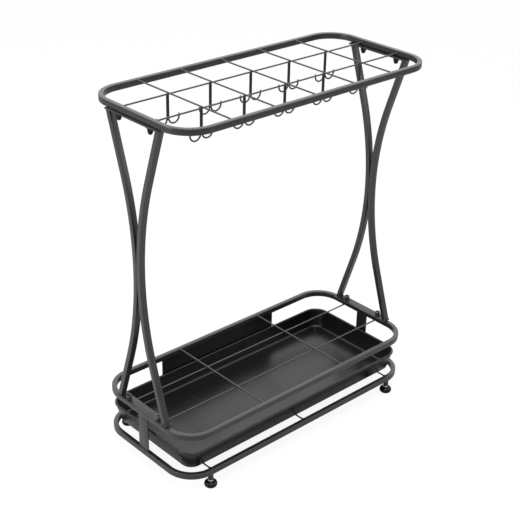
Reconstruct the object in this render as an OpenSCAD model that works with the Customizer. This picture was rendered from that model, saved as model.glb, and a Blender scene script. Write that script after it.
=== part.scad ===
// Umbrella stand: three tube rings, a divided top with double hooks,
// four bowed legs, an open basket ring and a drip tray that slides out.
// Millimetres. +Z is up, X is the long side, the front faces -Y, Z = 0 is the floor.

/* [Overall size] */
// Length of the stand, outside of the rings
stand_length = 490; // [400:1:600]
// Depth of the stand from front to back, outside of the rings
stand_depth = 219; // [180:1:280]
// Height from the floor to the top of the top ring
stand_height = 584; // [480:1:720]

/* [Rings] */
// Width of the ring tube, seen from above
tube_width = 7.5; // [6:0.5:12]
// Height of the ring tube, seen from the side
tube_height = 9.5; // [8:0.5:14]
// Wall thickness of all rectangular tube
tube_wall = 1; // [0.8:0.1:1.2]
// Outside corner radius of the rings
ring_corner_radius = 47.5; // [30:0.5:70]
// Height of the base ring's underside above the floor
base_ring_lift = 22.3; // [18:0.1:40]
// Height of the basket ring's top above the floor
basket_ring_top = 103.3; // [90:0.1:140]

/* [Wires] */
// Diameter of the grid, hook and tray-rest wires
wire_diameter = 2.5; // [2:0.1:4]
// Depth of the top cross wires' centres below the top of the top ring
top_wire_drop = 2.8; // [2:0.1:4]
// Depth of the basket cross wires' centres below the top of the basket ring
basket_wire_drop = 3.6; // [2:0.1:4]
// Distance between neighbouring cross wires of the top
top_wire_pitch = 78; // [60:1:95]
// Distance between the two long wires of the top and of the basket
long_wire_spacing = 74; // [56:1:90]
// Distance between the two cross wires of the basket
basket_wire_spacing = 172; // [130:1:210]

/* [Hooks] */
// Depth of the hook bottoms below the cross wires, between wire centres
hook_depth = 47.4; // [36:0.1:70]
// Bend radius of a hook, on the wire's centre line
hook_bend_radius = 9.4; // [7:0.1:16]
// Length of the straight tip above the bend
hook_tip_length = 2.5; // [1:0.5:12]

/* [Legs] */
// Width of the leg tube along the stand
leg_width = 10; // [7:0.5:14]
// Depth of the leg tube from front to back
leg_depth = 8; // [6:0.5:12]
// Distance between the end of the plates and the middle of the leg ends
leg_end_inset = 4.3; // [4:0.1:12]
// Bend radius of the bow in the middle of a leg, on the tube's centre line
leg_bend_radius = 480; // [300:10:700]
// Gap between the two legs at the waist
waist_gap = 0.1; // [0:0.05:4]

/* [Joining plates] */
// Width of the joining plates
plate_width = 16; // [14:0.5:20]
// Thickness of the joining plates
plate_thickness = 2.4; // [2:0.1:4]
// Width by which the plates stand out past the outside of the rings
plate_overhang = 3; // [0:0.1:4]

/* [Screws and nuts] */
// Shank diameter of the screws and studs
screw_diameter = 5; // [4:0.5:5]
// Length of the screws under their heads, and of the top studs
screw_length = 12; // [10:0.5:13]
// Head diameter of the socket screws
screw_head_diameter = 8.8; // [7:0.1:9.5]
// Head height of the socket screws
screw_head_height = 4.6; // [4:0.1:6]
// Width of the domed nuts across their flats
nut_width = 8; // [7:0.5:10]
// Height of the domed nuts
nut_height = 10; // [8:0.5:12]
// Diameter of the flat washers
washer_diameter = 12; // [10:0.5:12.5]
// Distance from the leg ends' middle in to the top nuts
top_screw_inset = 20.2; // [14:0.1:30]
// Distance from the leg ends' middle in to the bottom screws
bottom_screw_inset = 18.2; // [14:0.1:30]

/* [Straps and panel] */
// Width of the end straps
strap_width = 23; // [15:1:40]
// Thickness of the end straps and the back panel
strap_thickness = 2; // [1.5:0.1:4]
// Width of the back panel
panel_width = 246; // [180:1:300]

/* [Drip tray] */
// Depth of the drip tray from its underside to its rim
tray_depth = 34; // [25:1:45]
// Sheet thickness of the drip tray
tray_sheet = 1.2; // [0.8:0.1:1.6]
// Width by which the tray wall leans out from the floor to the rim
tray_lean = 7; // [3:0.5:12]
// Outside radius between the tray's floor and wall
tray_floor_radius = 5; // [3:0.5:7]
// Outside corner radius of the tray at the rim
tray_corner_radius = 28; // [20:0.5:40]
// Diameter of the rolled rim
rim_diameter = 4; // [3:0.1:5]
// Gap between the tray's rim and the inside of the rings at the ends
tray_end_gap = 3; // [1:0.5:12]
// Gap between the tray's rim and the inside of the rings at the front
tray_front_gap = 2.5; // [0:0.5:8]
// Gap between the tray's rim and the back panel
tray_back_gap = 0.5; // [0.4:0.1:6]

/* [Feet] */
// Diameter of the round feet
foot_diameter = 20.4; // [16:0.2:24]
// Height of the round feet
foot_height = 10.5; // [8:0.5:15]
// Diameter of the studs' collars between the feet and the base ring
collar_diameter = 8.5; // [6:0.5:12]
// Diameter of the steel studs in the feet
stud_diameter = 5; // [4:0.5:5]

/* [Hidden] */
$fn = 48;
slip = 0.1;
half_length = stand_length / 2;
half_depth = stand_depth / 2;
rail_x = half_length - tube_width / 2;
rail_y = half_depth - tube_width / 2;
top_ring_z = stand_height - tube_height;
basket_ring_z = basket_ring_top - tube_height;
base_ring_top = base_ring_lift + tube_height;
wire_reach_x = half_length - tube_width;
wire_reach_y = half_depth - tube_width;
top_wire_z = stand_height - top_wire_drop;
basket_wire_z = basket_ring_top - basket_wire_drop;
rest_wire_z = base_ring_top - wire_diameter / 2;
long_wire_y = long_wire_spacing / 2;
// straight lengths of the rings, between the corner bends
long_run = stand_length - 2 * ring_corner_radius;
short_run = stand_depth - 2 * ring_corner_radius;
foot_offset = long_run / 2 - 0.5;
rest_wire_offset = long_run / 2 - 2;
top_cross_x = [for (i = [-2 : 2]) i * min(top_wire_pitch, long_run / 4 - 2)];
// the long wires pass just under the cross wires
long_wire_fall = wire_diameter;
plate_length = short_run - 5;
plate_x = half_length + plate_overhang - plate_width / 2;
top_plate_z = top_ring_z - plate_thickness;
bottom_plate_z = basket_ring_top;
// the legs stand between the two pairs of plates
leg_foot_z = bottom_plate_z + plate_thickness;
leg_waist_z = (leg_foot_z + top_plate_z) / 2;
leg_half_rise = (top_plate_z - leg_foot_z) / 2;
leg_spread = plate_length - 2 * leg_end_inset;
leg_sweep = leg_spread / 2 - leg_depth / 2 - waist_gap / 2;
// a bow that would fill the whole height bounds the bend radius
leg_full_radius = (pow(leg_half_rise, 2) + pow(leg_sweep, 2)) / (2 * leg_sweep);
leg_bow = min(leg_bend_radius, 0.98 * leg_full_radius);
// angle at which the straight ends run on from the bow and meet the plates
leg_half_angle = atan2(leg_half_rise, leg_bow - leg_sweep)
    - acos(leg_bow / norm([leg_half_rise, leg_bow - leg_sweep]));
leg_straight = (leg_half_rise - leg_bow * sin(leg_half_angle)) / cos(leg_half_angle);
// the straight ends lap a little into the bow
leg_lap = 0.01;
leg_centre_y = leg_bow + leg_depth / 2 + waist_gap / 2;
top_screw_spacing = leg_spread - 2 * top_screw_inset;
bottom_screw_spacing = leg_spread - 2 * bottom_screw_inset;
spring_washer_height = 1.4;
flat_washer_height = 1.2;
socket_width = screw_diameter * 0.8;
nut_dome_radius = nut_width * 0.46;
screw_hole_radius = screw_diameter / 2 + slip;
screw_reach = screw_length - plate_thickness - spring_washer_height
    - flat_washer_height + 0.3;
washer_stack = spring_washer_height + flat_washer_height;
gap_to_rest = 0.3;
tray_bottom_z = base_ring_top + gap_to_rest;
tray_rim_x = half_length - tube_width - tray_end_gap;
// the tray sits back against the panel, a little behind the middle
panel_face_y = half_depth - 1.5 - strap_thickness;
tray_back_y = panel_face_y - tray_back_gap;
tray_front_y = half_depth - tube_width - tray_front_gap;
tray_rim_y = (tray_back_y + tray_front_y) / 2;
tray_middle_y = (tray_back_y - tray_front_y) / 2;
tray_core_x = tray_rim_x - tray_corner_radius;
tray_core_y = tray_rim_y - tray_corner_radius;
tray_lean_angle = atan(tray_lean / tray_depth);
tray_knee = tray_corner_radius - rim_diameter + tray_sheet
    - tray_floor_radius / cos(tray_lean_angle)
    - (tray_depth - rim_diameter / 2 - tray_floor_radius) * tan(tray_lean_angle);
foot_edge = foot_height / 2;
stud_top = base_ring_lift + tube_height - tube_wall - 1;
stud_hole_radius = stud_diameter / 2 + slip / 2;

// ---- shared shapes ----

module rounded_plan(size_x, size_y, radius) {
    square([size_x, size_y - 2 * radius], center = true);
    square([size_x - 2 * radius, size_y], center = true);
    for (x = [-1, 1], y = [-1, 1])
        translate([x * (size_x / 2 - radius), y * (size_y / 2 - radius)])
            circle(r = radius);
}

module band_plan(outset, band) {
    difference() {
        rounded_plan(stand_length - 2 * outset, stand_depth - 2 * outset,
            ring_corner_radius - outset);
        rounded_plan(stand_length - 2 * outset - 2 * band,
            stand_depth - 2 * outset - 2 * band,
            ring_corner_radius - outset - band);
    }
}

module tube_ring() {
    difference() {
        linear_extrude(tube_height) band_plan(0, tube_width);
        translate([0, 0, tube_wall])
            linear_extrude(tube_height - 2 * tube_wall)
                band_plan(tube_wall, tube_width - 2 * tube_wall);
    }
}

module at_screws(spacing) {
    for (x = [-1, 1], y = [-1, 1])
        translate([x * rail_x, y * spacing / 2, 0]) children();
}

module at_feet() {
    for (x = [-1, 1], y = [-1, 1])
        translate([x * foot_offset, y * rail_y, 0]) children();
}

module wire_x(half_span) {
    rotate([0, 90, 0])
        cylinder(h = 2 * half_span, d = wire_diameter, center = true);
}

module wire_y(half_span) {
    rotate([90, 0, 0])
        cylinder(h = 2 * half_span, d = wire_diameter, center = true);
}

module hook_wire() {
    bend_z = hook_bend_radius - hook_depth;
    stem_top = -long_wire_fall - wire_diameter / 2;
    translate([wire_diameter / 2, 0, 0]) {
        translate([0, 0, bend_z])
            cylinder(h = stem_top - bend_z, d = wire_diameter);
        translate([hook_bend_radius, 0, bend_z])
            rotate([90, 0, 0])
                rotate([0, 0, 180])
                    rotate_extrude(angle = 180)
                        translate([hook_bend_radius, 0])
                            circle(d = wire_diameter);
        translate([2 * hook_bend_radius, 0, bend_z])
            cylinder(h = hook_tip_length, d = wire_diameter);
        translate([2 * hook_bend_radius, 0, bend_z + hook_tip_length])
            sphere(d = wire_diameter);
    }
}

module double_hook(index, side) {
    translate([top_cross_x[index], side * long_wire_y, top_wire_z]) {
        hook_wire();
        mirror([1, 0, 0]) hook_wire();
    }
}

module leg_section() {
    difference() {
        square([leg_depth, leg_width], center = true);
        square([leg_depth - 2 * tube_wall, leg_width - 2 * tube_wall], center = true);
    }
}

// straight end of a leg, standing on the end of the bow; it runs past the plate
module leg_end() {
    translate([leg_bow, -leg_lap, 0]) rotate([-90, 0, 0])
        linear_extrude(leg_lap + leg_straight + leg_depth) leg_section();
}

// a bow with a straight end above and below, cut level with the plates
module bowed_leg(side_x, side_y) {
    intersection() {
        translate([side_x * rail_x, 0, leg_waist_z])
            scale([1, side_y, 1])
                translate([0, leg_centre_y, 0])
                    rotate([0, 90, 0])
                        rotate([0, 0, -90]) {
                            rotate([0, 0, -leg_half_angle])
                                rotate_extrude(angle = 2 * leg_half_angle, $fn = 360)
                                    translate([leg_bow, 0]) leg_section();
                            rotate([0, 0, leg_half_angle]) leg_end();
                            rotate([0, 0, -leg_half_angle]) mirror([0, 1, 0]) leg_end();
                        }
        translate([side_x * rail_x, 0, leg_waist_z])
            cube([4 * leg_width, 2 * stand_depth, 2 * leg_half_rise], center = true);
    }
}

module joining_plate(side_x, spacing) {
    difference() {
        translate([side_x * plate_x, 0, plate_thickness / 2])
            cube([plate_width, plate_length, plate_thickness], center = true);
        for (y = [-1, 1])
            translate([side_x * rail_x, y * spacing / 2, -1])
                cylinder(h = plate_thickness + 2, r = screw_hole_radius);
    }
}

// screw with its head up; the underside of the head is at Z = 0
module socket_screw() {
    difference() {
        union() {
            translate([0, 0, -screw_length])
                cylinder(h = screw_length + 1, d = screw_diameter);
            cylinder(h = screw_head_height, d = screw_head_diameter);
        }
        translate([0, 0, screw_head_height * 0.45])
            cylinder(h = screw_head_height, d = socket_width / cos(30), $fn = 6);
    }
}

module spring_washer() {
    difference() {
        cylinder(h = spring_washer_height, d = screw_head_diameter - 0.3);
        translate([0, 0, -1])
            cylinder(h = spring_washer_height + 2, r = screw_hole_radius);
        translate([0, -0.4, -1])
            cube([screw_head_diameter, 0.8, spring_washer_height + 2]);
    }
}

module flat_washer() {
    difference() {
        cylinder(h = flat_washer_height, d = washer_diameter);
        translate([0, 0, -1])
            cylinder(h = flat_washer_height + 2, r = screw_hole_radius + 0.05);
    }
}

// domed nut with its seat at Z = 0 and its dome upwards
module domed_nut() {
    difference() {
        union() {
            cylinder(h = nut_height / 2, d = nut_width / cos(30), $fn = 6);
            cylinder(h = nut_height - nut_dome_radius, r = nut_dome_radius);
            translate([0, 0, nut_height - nut_dome_radius])
                sphere(r = nut_dome_radius);
        }
        translate([0, 0, -1])
            cylinder(h = nut_height - 0.9, r = screw_hole_radius);
    }
}

// ---- top ----

module top_ring() {
    color("#242424") difference() {
        translate([0, 0, top_ring_z]) tube_ring();
        translate([0, 0, top_ring_z - 1])
            at_screws(top_screw_spacing)
                cylinder(h = screw_reach + 1, r = screw_hole_radius);
    }
}

module top_long_wires() {
    color("#242424") for (y = [-1, 1])
        translate([0, y * long_wire_y, top_wire_z - long_wire_fall])
            wire_x(wire_reach_x);
}

module top_cross_wires() {
    color("#242424") for (x = top_cross_x)
        translate([x, 0, top_wire_z]) wire_y(wire_reach_y);
}

module hook_back_1() { color("#242424") double_hook(0, 1); }
module hook_back_2() { color("#242424") double_hook(1, 1); }
module hook_back_3() { color("#242424") double_hook(2, 1); }
module hook_back_4() { color("#242424") double_hook(3, 1); }
module hook_back_5() { color("#242424") double_hook(4, 1); }
module hook_front_1() { color("#242424") double_hook(0, -1); }
module hook_front_2() { color("#242424") double_hook(1, -1); }
module hook_front_3() { color("#242424") double_hook(2, -1); }
module hook_front_4() { color("#242424") double_hook(3, -1); }
module hook_front_5() { color("#242424") double_hook(4, -1); }

// ---- legs and joining plates ----

module leg_left_front() { color("#282828") bowed_leg(-1, -1); }
module leg_left_back() { color("#282828") bowed_leg(-1, 1); }
module leg_right_front() { color("#282828") bowed_leg(1, -1); }
module leg_right_back() { color("#282828") bowed_leg(1, 1); }

module top_plate_left() {
    color("#202020") translate([0, 0, top_plate_z])
        joining_plate(-1, top_screw_spacing);
}

module top_plate_right() {
    color("#202020") translate([0, 0, top_plate_z])
        joining_plate(1, top_screw_spacing);
}

module bottom_plate_left() {
    color("#202020") translate([0, 0, bottom_plate_z])
        joining_plate(-1, bottom_screw_spacing);
}

module bottom_plate_right() {
    color("#202020") translate([0, 0, bottom_plate_z])
        joining_plate(1, bottom_screw_spacing);
}

// ---- studs with domed nuts above, screws with their heads up below ----

module top_studs() {
    color("#161616") translate([0, 0, top_ring_z + tube_wall + 0.5 - screw_length])
        at_screws(top_screw_spacing) cylinder(h = screw_length, d = screw_diameter);
}

module top_nuts() {
    color("#161616") translate([0, 0, top_plate_z - flat_washer_height])
        at_screws(top_screw_spacing) rotate([180, 0, 0]) domed_nut();
}

module top_flat_washers() {
    color("#161616") translate([0, 0, top_plate_z - flat_washer_height])
        at_screws(top_screw_spacing) flat_washer();
}

module bottom_screws() {
    color("#161616") translate([0, 0, leg_foot_z + washer_stack])
        at_screws(bottom_screw_spacing) socket_screw();
}

module bottom_spring_washers() {
    color("#161616") translate([0, 0, leg_foot_z + flat_washer_height])
        at_screws(bottom_screw_spacing) spring_washer();
}

module bottom_flat_washers() {
    color("#161616") translate([0, 0, leg_foot_z])
        at_screws(bottom_screw_spacing) flat_washer();
}

// ---- basket ----

module basket_ring() {
    color("#242424") difference() {
        translate([0, 0, basket_ring_z]) tube_ring();
        translate([0, 0, basket_ring_top - screw_reach])
            at_screws(bottom_screw_spacing)
                cylinder(h = screw_reach + 1, r = screw_hole_radius);
    }
}

module basket_long_wires() {
    color("#242424") for (y = [-1, 1])
        translate([0, y * long_wire_y, basket_wire_z - long_wire_fall])
            wire_x(wire_reach_x);
}

module basket_cross_wires() {
    color("#242424") for (x = [-1, 1])
        translate([x * basket_wire_spacing / 2, 0, basket_wire_z])
            wire_y(wire_reach_y);
}

// ---- base ----

module base_ring() {
    color("#1e1e1e") difference() {
        translate([0, 0, base_ring_lift]) tube_ring();
        translate([0, 0, base_ring_lift - 1])
            at_feet()
                cylinder(h = stud_top + 1.3 - base_ring_lift, r = stud_hole_radius);
    }
}

module tray_rest_wires() {
    color("#1e1e1e") for (x = [-1, 0, 1])
        translate([x * rest_wire_offset, 0, rest_wire_z])
            wire_y(wire_reach_y);
}

module end_strap(side_x) {
    strap_rise = basket_ring_z - base_ring_top;
    translate([side_x * (half_length - 1.5 - strap_thickness / 2), 0,
        base_ring_top + strap_rise / 2])
        cube([strap_thickness, strap_width, strap_rise], center = true);
}

module strap_left() { color("#242424") end_strap(-1); }
module strap_right() { color("#242424") end_strap(1); }

module back_panel() {
    panel_rise = basket_ring_z - base_ring_top;
    color("#1e1e1e")
        translate([0, panel_face_y + strap_thickness / 2,
            base_ring_top + panel_rise / 2])
            cube([min(panel_width, long_run - 20), strap_thickness, panel_rise],
                center = true);
}

// ---- feet ----

// half cross-section of a foot: flat below and above, with a full round edge
module foot_section() {
    intersection() {
        union() {
            square([foot_diameter / 2 - foot_edge, foot_height]);
            translate([foot_diameter / 2 - foot_edge, foot_edge]) circle(r = foot_edge);
        }
        square([foot_diameter, foot_height]);
    }
}

module foot_balls() {
    color("#0c0c0c") at_feet() difference() {
        rotate_extrude() foot_section();
        translate([0, 0, foot_edge]) cylinder(h = foot_height, r = stud_diameter / 2);
    }
}

module foot_studs() {
    color("#2c2c2c") at_feet() {
        translate([0, 0, foot_edge])
            cylinder(h = stud_top - foot_edge, d = stud_diameter);
        translate([0, 0, foot_height])
            cylinder(h = base_ring_lift - foot_height, d = collar_diameter);
    }
}

// ---- drip tray ----

// cross-section of the pressed wall, from the flat floor out to the rolled rim;
// X is measured from the centre of the corner, Y from the tray's underside
module tray_wall_section() {
    lean = [cos(tray_lean_angle), -sin(tray_lean_angle)];
    knee = [tray_knee, tray_floor_radius];
    brow = [tray_corner_radius - rim_diameter + tray_sheet,
        tray_depth - rim_diameter / 2];
    far = 2 * tray_floor_radius;
    polygon([knee + tray_floor_radius * lean, brow,
        brow - tray_sheet * lean,
        knee + (tray_floor_radius - tray_sheet) * lean]);
    intersection() {
        translate(knee) difference() {
            circle(r = tray_floor_radius);
            circle(r = tray_floor_radius - tray_sheet);
        }
        polygon([knee, knee + far * lean, knee + [far, -far], knee - [0, far]]);
    }
    translate([tray_corner_radius, tray_depth] - [1, 1] * rim_diameter / 2)
        circle(d = rim_diameter);
}

module tray_side(span) {
    rotate([90, 0, 0]) linear_extrude(2 * span, center = true) tray_wall_section();
}

module drip_tray() {
    color("#262626") translate([0, tray_middle_y, tray_bottom_z]) {
        linear_extrude(tray_sheet)
            rounded_plan(2 * (tray_core_x + tray_knee),
                2 * (tray_core_y + tray_knee), tray_knee);
        for (turn = [0, 180]) rotate([0, 0, turn]) {
            translate([tray_core_x, 0, 0]) tray_side(tray_core_y);
            translate([0, tray_core_y, 0]) rotate([0, 0, 90]) tray_side(tray_core_x);
            translate([tray_core_x, tray_core_y, 0])
                rotate_extrude(angle = 90) tray_wall_section();
            translate([-tray_core_x, tray_core_y, 0])
                rotate([0, 0, 90]) rotate_extrude(angle = 90) tray_wall_section();
        }
    }
}

top_ring();
top_long_wires();
top_cross_wires();
hook_back_1();
hook_back_2();
hook_back_3();
hook_back_4();
hook_back_5();
hook_front_1();
hook_front_2();
hook_front_3();
hook_front_4();
hook_front_5();
leg_left_front();
leg_left_back();
leg_right_front();
leg_right_back();
top_plate_left();
top_plate_right();
bottom_plate_left();
bottom_plate_right();
top_studs();
top_nuts();
top_flat_washers();
bottom_screws();
bottom_spring_washers();
bottom_flat_washers();
basket_ring();
basket_long_wires();
basket_cross_wires();
base_ring();
tray_rest_wires();
strap_left();
strap_right();
back_panel();
foot_balls();
foot_studs();
drip_tray();
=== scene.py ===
"""Looks of a free-standing steel umbrella stand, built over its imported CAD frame.

Lengths are metres in the frame's own axes: +X along the long side, +Y to the
back, +Z up, with the floor at Z = 0. The drip tray rides its own body; all the
rest rides the stand.
"""

import logging
import math
from abc import ABC, abstractmethod
from collections.abc import Iterable
from dataclasses import dataclass, field
from enum import Enum, IntEnum, StrEnum
from typing import Self

import bmesh
import bpy
import numpy as np
from bpy.types import ID, Material, Node, NodeSocket, NodeTree, Object, World
from mathutils import Matrix, Vector


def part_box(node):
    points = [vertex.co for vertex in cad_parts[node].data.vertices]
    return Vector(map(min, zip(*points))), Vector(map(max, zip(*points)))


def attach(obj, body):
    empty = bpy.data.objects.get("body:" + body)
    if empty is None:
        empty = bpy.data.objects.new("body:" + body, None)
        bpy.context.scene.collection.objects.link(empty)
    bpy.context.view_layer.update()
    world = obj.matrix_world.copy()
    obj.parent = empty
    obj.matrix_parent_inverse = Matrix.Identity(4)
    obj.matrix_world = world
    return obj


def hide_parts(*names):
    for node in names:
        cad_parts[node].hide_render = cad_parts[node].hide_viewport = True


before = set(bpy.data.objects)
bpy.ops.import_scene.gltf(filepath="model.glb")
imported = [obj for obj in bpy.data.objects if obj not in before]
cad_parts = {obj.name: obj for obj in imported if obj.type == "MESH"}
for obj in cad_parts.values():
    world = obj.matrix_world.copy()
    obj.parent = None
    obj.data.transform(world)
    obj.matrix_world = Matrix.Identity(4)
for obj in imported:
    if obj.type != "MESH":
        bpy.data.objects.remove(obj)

LOG = logging.getLogger("umbrella_stand")
MM = 0.001
# Points nearer to one another than this become one.
MERGE_REACH = 0.0002 * MM
UNIT_X, UNIT_Y, UNIT_Z = np.eye(3)
Array = np.ndarray
Axes = list[tuple[float, float]]
Profile = Iterable[tuple[float | Array, float]]
Inputs = dict[str | int, object]
# Places of a Mix node's colour sockets, whose names stand for several sockets.
MIX_A, MIX_B, MIX_RESULT = 6, 7, 2
# A Map Range node's ends, in the order in which they are given below.
RANGE_ENDS = ("From Min", "From Max", "To Min", "To Max")
# The share of its full size at which a rounded end stops, so that it keeps a face.
BLUNT = 0.02


class Body(Enum):
    """The rigid bodies of the stand."""

    STAND = "stand"
    TRAY = "tray"


class Slot(Enum):
    """The material slots named in the record."""

    FRAME = "frame_coat"
    LEGS = "leg_coat"
    PLATES = "plate_coat"
    WIRES = "wire_coat"
    TRAY = "tray_coat"
    SCREWS = "black_screws"
    FEET = "black_gloss_feet"
    STUDS = "zinc_studs"


class Side(StrEnum):
    """The stand's two ends, as its nodes name them."""

    LEFT = "left"
    RIGHT = "right"


class Row(StrEnum):
    """The stand's two long sides, as its nodes name them."""

    FRONT = "front"
    BACK = "back"


class Axis(IntEnum):
    """The two level axes, by their place in a point."""

    X = 0
    Y = 1


# ---- colour, nodes


def linear(hex_colour: str) -> tuple[float, float, float, float]:
    """Turns an sRGB hex colour into linear red, green, blue and alpha.

    Each channel c is c / 12.92 up to 0.04045 and ((c + 0.055) / 1.055) ^ 2.4 above.

    Args:
        hex_colour: six hex digits after a hash sign.

    Returns:
        The linear colour with alpha 1.
    """
    digits = hex_colour.lstrip("#")
    c = np.array([int(digits[i : i + 2], 16) for i in (0, 2, 4)]) / 255.0
    out = np.where(c <= 0.04045, c / 12.92, ((c + 0.055) / 1.055) ** 2.4)
    return (*out.tolist(), 1.0)


def empty_tree(owner: Material | World) -> NodeTree:
    """Turns on the nodes of a material or world and clears them.

    Args:
        owner: the material or world.

    Returns:
        Its empty node tree.
    """
    owner.use_nodes = True
    owner.node_tree.nodes.clear()
    return owner.node_tree


def add_node(
    tree: NodeTree, kind: str, inputs: Inputs | None = None, **settings: object
) -> Node:
    """Adds one node, sets its options and fills or links its inputs.

    Args:
        tree: the node tree that gets the node.
        kind: the node's type name after ShaderNode, such as TexNoise.
        inputs: names or places of inputs, each with a value, a socket to link,
            or a node whose first output is linked.
        settings: option names and their values.

    Returns:
        The new node.
    """
    node = tree.nodes.new("ShaderNode" + kind)
    for name, value in settings.items():
        setattr(node, name, value)
    for key, value in (inputs or {}).items():
        source = value.outputs[0] if isinstance(value, Node) else value
        if isinstance(source, NodeSocket):
            tree.links.new(source, node.inputs[key])
        else:
            node.inputs[key].default_value = source
    return node


# ---- finishes


@dataclass(frozen=True)
class Finish(ABC):
    """A surface finish that is made into one material."""

    title: str
    slot: Slot
    colour: str

    def material(self) -> Material:
        """Gives the finish's material, made the first time it is asked for.

        Returns:
            The material.
        """
        made = bpy.data.materials.get(self.title)
        if made is None:
            made = bpy.data.materials.new(self.title)
            made.diffuse_color = linear(self.colour)
            tree = empty_tree(made)
            place = add_node(tree, "TexCoord").outputs["Object"]
            shader = add_node(tree, "BsdfPrincipled", self.look(tree, place))
            add_node(tree, "OutputMaterial", {"Surface": shader})
        return made

    @abstractmethod
    def look(self, tree: NodeTree, place: NodeSocket) -> Inputs:
        """Builds the nodes behind the finish's shader and gives the shader's inputs."""


@dataclass(frozen=True)
class PowderCoat(Finish):
    """Polyester powder coat, sprayed on steel and baked.

    The powder melts into a soft skin: a satin sheen, a faint orange-peel wave
    2.4 mm long, a finer grain, and slow drifts of tone where the film is thicker.
    """

    flow_colour: str = "#212122"
    roughness: float = 0.3
    roughness_drift: float = 0.05
    gloss_index: float = 1.5
    peel_length: float = 2.4 * MM
    peel_height: float = 0.032 * MM
    # The powder's real grain is near 0.1 mm, too fine to show, so it is drawn coarser.
    grain_length: float = 0.45 * MM
    grain_height: float = 0.012 * MM
    drift_length: float = 38 * MM
    drift_low: float = 0.3
    drift_high: float = 0.7

    def look(self, tree: NodeTree, place: NodeSocket) -> Inputs:
        """Builds the drifts of tone and sheen and the two bumps.

        Args:
            tree: the material's node tree.
            place: the point on the piece.

        Returns:
            The shader's inputs.
        """
        patterns = ((self.drift_length, 3.0), (self.peel_length, 1.0), (self.grain_length, 2.0))
        drift, peel, grain = (
            add_node(tree, "TexNoise", {"Vector": place, "Scale": 1 / length, "Detail": detail})
            for length, detail in patterns
        )
        tone = add_node(
            tree,
            "Mix",
            {"Factor": drift, MIX_A: linear(self.colour), MIX_B: linear(self.flow_colour)},
            data_type="RGBA",
        )
        sheen = (self.roughness - self.roughness_drift, self.roughness + self.roughness_drift)
        ends = dict(zip(RANGE_ENDS, (self.drift_low, self.drift_high, *sheen)))
        rough = add_node(tree, "MapRange", {"Value": drift, **ends})
        wave = add_node(tree, "Bump", {"Height": peel, "Distance": self.peel_height})
        skin = add_node(
            tree, "Bump", {"Height": grain, "Distance": self.grain_height, "Normal": wave}
        )
        look = {"Base Color": tone.outputs[MIX_RESULT], "IOR": self.gloss_index}
        return {**look, "Roughness": rough, "Normal": skin}


@dataclass(frozen=True)
class SkinnedSteel(Finish):
    """Turned or pressed steel under a thin skin of black oxide or zinc.

    The bath leaves a skin so thin that the metal's glint stays, with fine
    turning lines and lighter rubbed spots.
    """

    rubbed_colour: str
    roughness: float = 0.34
    metallic: float = 0.85
    # Real turning lines lie near 0.1 mm apart, too fine to show, so these are coarser.
    line_length: float = 0.35 * MM
    line_height: float = 0.01 * MM
    line_run: float = 6.0
    patch_length: float = 2.5 * MM
    rub_low: float = 0.52
    rub_high: float = 0.75

    def look(self, tree: NodeTree, place: NodeSocket) -> Inputs:
        """Builds the rubbed patches and the fine turning lines.

        The lines' noise is squeezed along Z, so it runs level round an upright
        screw and is line_run times as long as it is tall.

        Args:
            tree: the material's node tree.
            place: the point on the piece.

        Returns:
            The shader's inputs.
        """
        patch = add_node(
            tree, "TexNoise", {"Vector": place, "Scale": 1 / self.patch_length, "Detail": 4.0}
        )
        ends = dict(zip(RANGE_ENDS, (self.rub_low, self.rub_high)))
        worn = add_node(tree, "MapRange", {"Value": patch, **ends})
        tone = add_node(
            tree,
            "Mix",
            {"Factor": worn, MIX_A: linear(self.colour), MIX_B: linear(self.rubbed_colour)},
            data_type="RGBA",
        )
        squeeze = add_node(tree, "Mapping", {"Vector": place, "Scale": (1.0, 1.0, self.line_run)})
        scale = 1 / (self.line_run * self.line_length)
        lines = add_node(tree, "TexNoise", {"Vector": squeeze, "Scale": scale, "Detail": 2.0})
        bump = add_node(tree, "Bump", {"Height": lines, "Distance": self.line_height})
        look = {"Base Color": tone.outputs[MIX_RESULT], "Roughness": self.roughness}
        return {**look, "Metallic": self.metallic, "Normal": bump}


@dataclass(frozen=True)
class GlossMoulding(Finish):
    """Black ABS from a polished mould.

    A wet-looking gloss over a black body, with a long, low flow wave and light
    handling haze. ABS has an IOR of 1.54; it is lowered until the moulding
    mirrors as little as the real one does.
    """

    roughness: float = 0.08
    haze: float = 0.1
    haze_low: float = 0.45
    haze_high: float = 0.8
    gloss_index: float = 1.24
    wave_length: float = 6 * MM
    wave_height: float = 0.02 * MM

    def look(self, tree: NodeTree, place: NodeSocket) -> Inputs:
        """Builds the handling haze and the flow wave.

        Args:
            tree: the material's node tree.
            place: the point on the piece.

        Returns:
            The shader's inputs.
        """
        wave = add_node(
            tree, "TexNoise", {"Vector": place, "Scale": 1 / self.wave_length, "Detail": 1.0}
        )
        sheen = (self.roughness, self.roughness + self.haze)
        ends = dict(zip(RANGE_ENDS, (self.haze_low, self.haze_high, *sheen)))
        rough = add_node(tree, "MapRange", {"Value": wave, **ends})
        bump = add_node(tree, "Bump", {"Height": wave, "Distance": self.wave_height})
        look = {"Base Color": linear(self.colour), "IOR": self.gloss_index}
        return {**look, "Roughness": rough, "Normal": bump}


# Baked polyester powder has an IOR near 1.5 and a roughness near 0.3. Each coat
# starts there, and its index is lowered where the real piece mirrors less.
# Bent tube: an even satin skin with a soft pale line along each edge.
COAT = PowderCoat("satin_black_powder_coat_tube", Slot.FRAME, "#1b1b1c", gloss_index=1.46)
# Leg tube: the same skin at the full gloss of baked powder.
LEG_COAT = PowderCoat("satin_black_powder_coat_legs", Slot.LEGS, "#1c1c1d")
# Drawn wire: a smoother film on a smooth core, so a fine bright line runs along it.
WIRE_COAT = PowderCoat("satin_black_powder_coat_wire", Slot.WIRES, "#1a1a1b", roughness=0.27)
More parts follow.
